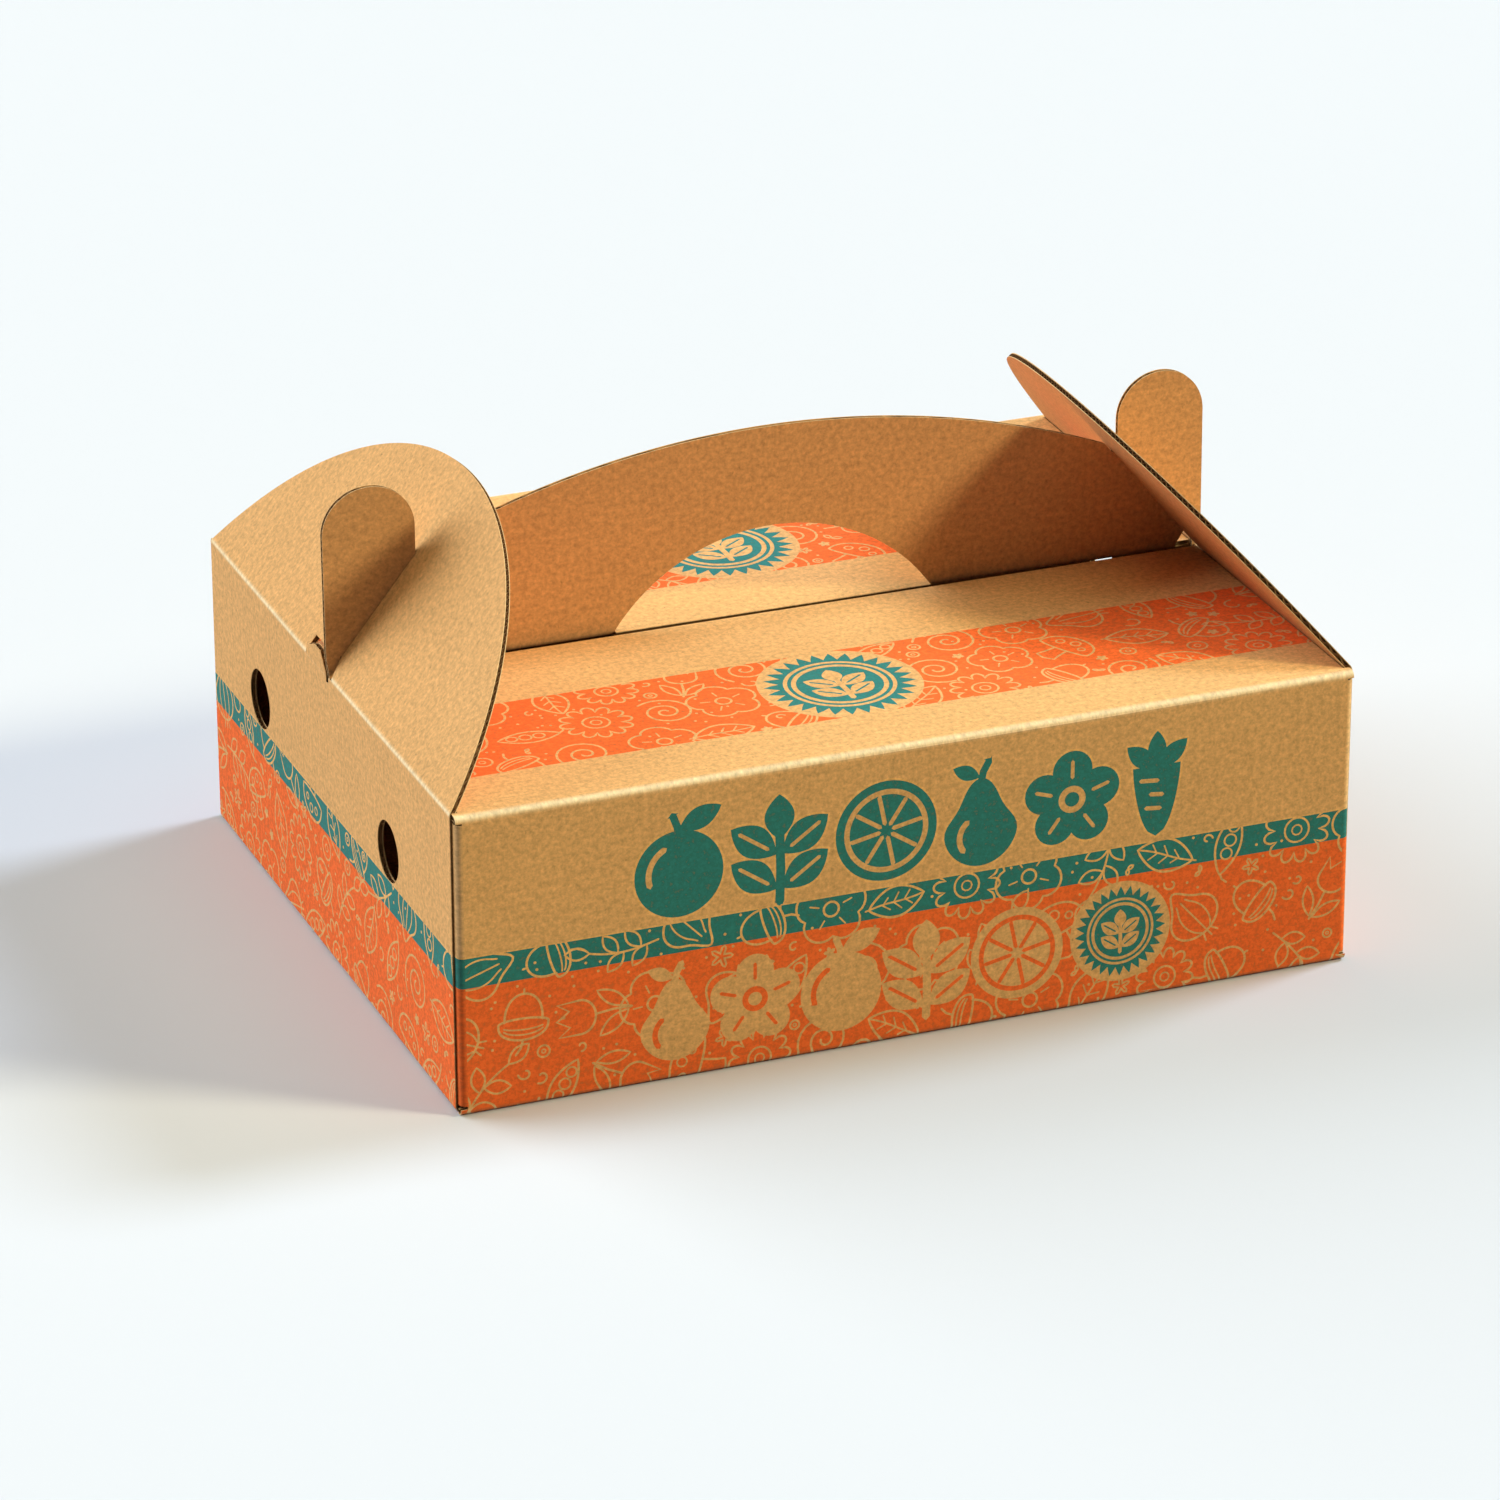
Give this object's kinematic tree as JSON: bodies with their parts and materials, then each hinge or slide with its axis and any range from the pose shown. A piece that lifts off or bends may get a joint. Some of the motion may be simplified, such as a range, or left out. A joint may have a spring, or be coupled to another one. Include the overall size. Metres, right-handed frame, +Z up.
{
  "type": "handled cardboard carry box",
  "caption": "Shallow corrugated carry carton folded from one sheet, with an arched handle, a half-moon hand hole and locking end flaps.",
  "frame": {"origin": "middle of the underside, on the surface that the box stands on, with its handle's thickness included in its outer box", "axes": "+X to the right along the long front, +Y from the front to the back, +Z up"},
  "size_m": [0.3608, 0.29, 0.1945],
  "materials": {
    "board": "matt brown kraft board with printed fields of orange and teal"
  },
  "bodies": {
    "root": {"carton": "board"}
  },
  "joints": []
}
